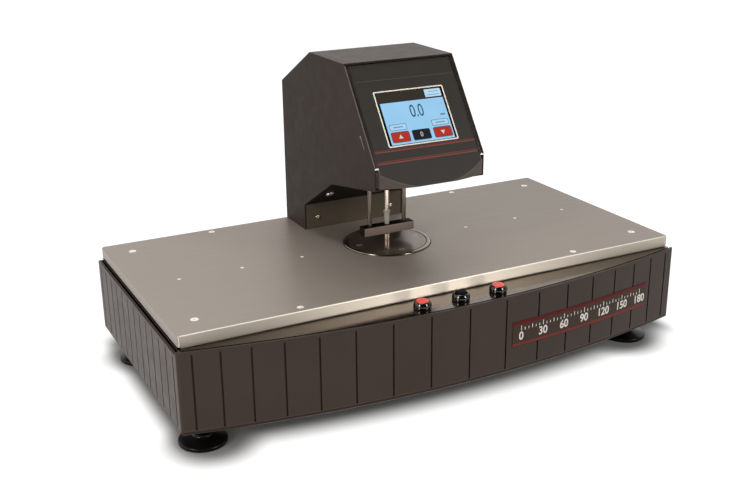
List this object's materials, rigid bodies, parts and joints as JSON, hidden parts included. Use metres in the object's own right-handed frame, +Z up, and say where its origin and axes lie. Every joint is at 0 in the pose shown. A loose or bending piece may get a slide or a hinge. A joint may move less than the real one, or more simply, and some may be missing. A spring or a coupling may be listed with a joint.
{
  "type": "bench thickness gauge",
  "caption": "Bench thickness gauge: ground plate on a bowed, grooved base, with a C-shaped head that lowers a probe on to a polished anvil under a sloping touch screen.",
  "frame": {"origin": "centre of the bounding box seen from above, at the height of the bench under the feet", "axes": "+X along the base to the operator's right, -Y towards the operator, +Z up; the measuring axis is upright at x 0, y 17.25 mm"},
  "size_m": [0.6084, 0.334, 0.353],
  "materials": {
    "skirt_paint": "dark brown-grey satin paint",
    "rear_paint": "dark satin paint",
    "hood_paint": "fine-textured dark powder coat",
    "fascia_paint": "dark satin paint",
    "fascia_print": "printed film, satin",
    "frame_cream": "pale moulded frame",
    "screen_glass": "lit touch screen behind glass",
    "plate_brushed": "ground steel, fine brushed lines along X",
    "deck_brushed": "brushed",
    "black_sheet": "matt black sheet",
    "mirror_steel": "lapped and polished steel",
    "screw_steel": "bright socket screws",
    "screw_black": "blackened screws",
    "zinc_sheet": "plated steel",
    "casting_alloy": "as cast and machined",
    "bar_bronze": "warm grey anodised",
    "rod_dark": "dark ground rod",
    "sleeve_grey": "pale grey moulded sleeve",
    "foot_black": "gloss black moulding",
    "stud_black": "blackened steel stud",
    "button_black": "gloss black",
    "button_red": "red cap",
    "badge_dark": "dark printed plate with two red stripes",
    "moulded_black": "moulded black plastic",
    "brass_contact": "plain",
    "connector_nickel": "nickel-plated shell",
    "board_green": "circuit board"
  },
  "bodies": {
    "base": {"anvil": "mirror_steel", "anvil_screws": "screw_steel", "badge_plate": "badge_dark", "base_skirt": "skirt_paint", "base_tray": "zinc_sheet", "button_bezels": "button_black", "button_nuts": "zinc_sheet", "column_bolts": "screw_steel", "column_casting": "casting_alloy", "data_port": "connector_nickel", "deck_plate": "deck_brushed", "deck_ribs": "zinc_sheet", "display_frame": "frame_cream", "display_module": "moulded_black", "display_nuts": "screw_steel", "fascia_film": "fascia_print", "fascia_panel": "fascia_paint", "fascia_rails": "zinc_sheet", "foot_bosses": "zinc_sheet", "guide_bushes": "brass_contact", "head_hood": "hood_paint", "hood_screws": "screw_black", "inlet_pins": "brass_contact", "inlet_screws": "screw_steel", "lift_motor": "moulded_black", "main_board": "board_green", "mains_inlet": "moulded_black", "pedestal_screws": "screw_steel", "plate_centre_screws": "screw_steel", "plate_corner_screws": "screw_steel", "plate_edge_screws": "screw_steel", "plate_gasket": "black_sheet", "power_supply": "zinc_sheet", "probe_body": "mirror_steel", "rear_panel": "rear_paint", "rocker_bezel": "moulded_black", "surface_plate": "plate_brushed", "throat_panel": "hood_paint", "touch_glass": "screen_glass", "underside_screws": "screw_steel"},
    "measuring_foot": {"crossbar": "bar_bronze", "guide_rods": "rod_dark", "measuring_spindle": "mirror_steel", "probe_plunger": "sleeve_grey", "load_weight": "zinc_sheet", "lift_yoke": "casting_alloy", "lift_nut": "brass_contact"},
    "lead_screw": {"lead_screw": "mirror_steel"},
    "button_left": {"button_cap_left": "button_red"},
    "button_middle": {"button_cap_middle": "button_black"},
    "button_right": {"button_cap_right": "button_red"},
    "power_rocker": {"power_rocker": "moulded_black"},
    "foot_pad_front_left": {"foot_pad_front_left": "foot_black"},
    "foot_stud_front_left": {"foot_stud_front_left": "stud_black"},
    "foot_pad_front_right": {"foot_pad_front_right": "foot_black"},
    "foot_stud_front_right": {"foot_stud_front_right": "stud_black"},
    "foot_pad_rear_left": {"foot_pad_rear_left": "foot_black"},
    "foot_stud_rear_left": {"foot_stud_rear_left": "stud_black"},
    "foot_pad_rear_right": {"foot_pad_rear_right": "foot_black"},
    "foot_stud_rear_right": {"foot_stud_rear_right": "stud_black"}
  },
  "joints": [
    {"name": "foot_lift", "type": "slide", "parent": "base", "child": "measuring_foot", "axis": [0, 0, 1], "range_m": [0, 0.01]},
    {"name": "lead_screw_turn", "type": "hinge", "parent": "base", "child": "lead_screw", "pos_m": [0, 0.082, 0.3], "axis": [0, 0, 1], "range_deg": [0, 450.1]},
    {"name": "button_left_press", "type": "slide", "parent": "base", "child": "button_left", "axis": [0, 0, -1], "range_m": [0, 0.0015], "stiffness_N_per_m": 600},
    {"name": "button_middle_press", "type": "slide", "parent": "base", "child": "button_middle", "axis": [0, 0, -1], "range_m": [0, 0.0015], "stiffness_N_per_m": 600},
    {"name": "button_right_press", "type": "slide", "parent": "base", "child": "button_right", "axis": [0, 0, -1], "range_m": [0, 0.0015], "stiffness_N_per_m": 600},
    {"name": "power_rocker_tip", "type": "hinge", "parent": "base", "child": "power_rocker", "pos_m": [-0.025, 0.163, 0.078], "axis": [-1, 0, 0], "range_deg": [0, 14]},
    {"name": "level_front_left", "type": "slide", "parent": "base", "child": "foot_pad_front_left", "axis": [0, 0, 1], "range_m": [0, 0.012]},
    {"name": "stud_front_left_turn", "type": "hinge", "parent": "foot_pad_front_left", "child": "foot_stud_front_left", "pos_m": [-0.272, -0.0937, 0.02], "axis": [0, 0, 1], "range_deg": [0, 2470]},
    {"name": "level_front_right", "type": "slide", "parent": "base", "child": "foot_pad_front_right", "axis": [0, 0, 1], "range_m": [0, 0.012]},
    {"name": "stud_front_right_turn", "type": "hinge", "parent": "foot_pad_front_right", "child": "foot_stud_front_right", "pos_m": [0.272, -0.0937, 0.02], "axis": [0, 0, 1], "range_deg": [0, 2470]},
    {"name": "level_rear_left", "type": "slide", "parent": "base", "child": "foot_pad_rear_left", "axis": [0, 0, 1], "range_m": [0, 0.012]},
    {"name": "stud_rear_left_turn", "type": "hinge", "parent": "foot_pad_rear_left", "child": "foot_stud_rear_left", "pos_m": [-0.272, 0.1282, 0.02], "axis": [0, 0, 1], "range_deg": [0, 2470]},
    {"name": "level_rear_right", "type": "slide", "parent": "base", "child": "foot_pad_rear_right", "axis": [0, 0, 1], "range_m": [0, 0.012]},
    {"name": "stud_rear_right_turn", "type": "hinge", "parent": "foot_pad_rear_right", "child": "foot_stud_rear_right", "pos_m": [0.272, 0.1282, 0.02], "axis": [0, 0, 1], "range_deg": [0, 2470]}
  ],
  "couplings": [
    {"joint": "lead_screw_turn", "follows": "foot_lift", "rad_per_m": 785.4},
    {"joint": "stud_front_left_turn", "follows": "level_front_left", "rad_per_m": 3590.4},
    {"joint": "stud_front_right_turn", "follows": "level_front_right", "rad_per_m": 3590.4},
    {"joint": "stud_rear_left_turn", "follows": "level_rear_left", "rad_per_m": 3590.4},
    {"joint": "stud_rear_right_turn", "follows": "level_rear_right", "rad_per_m": 3590.4}
  ]
}
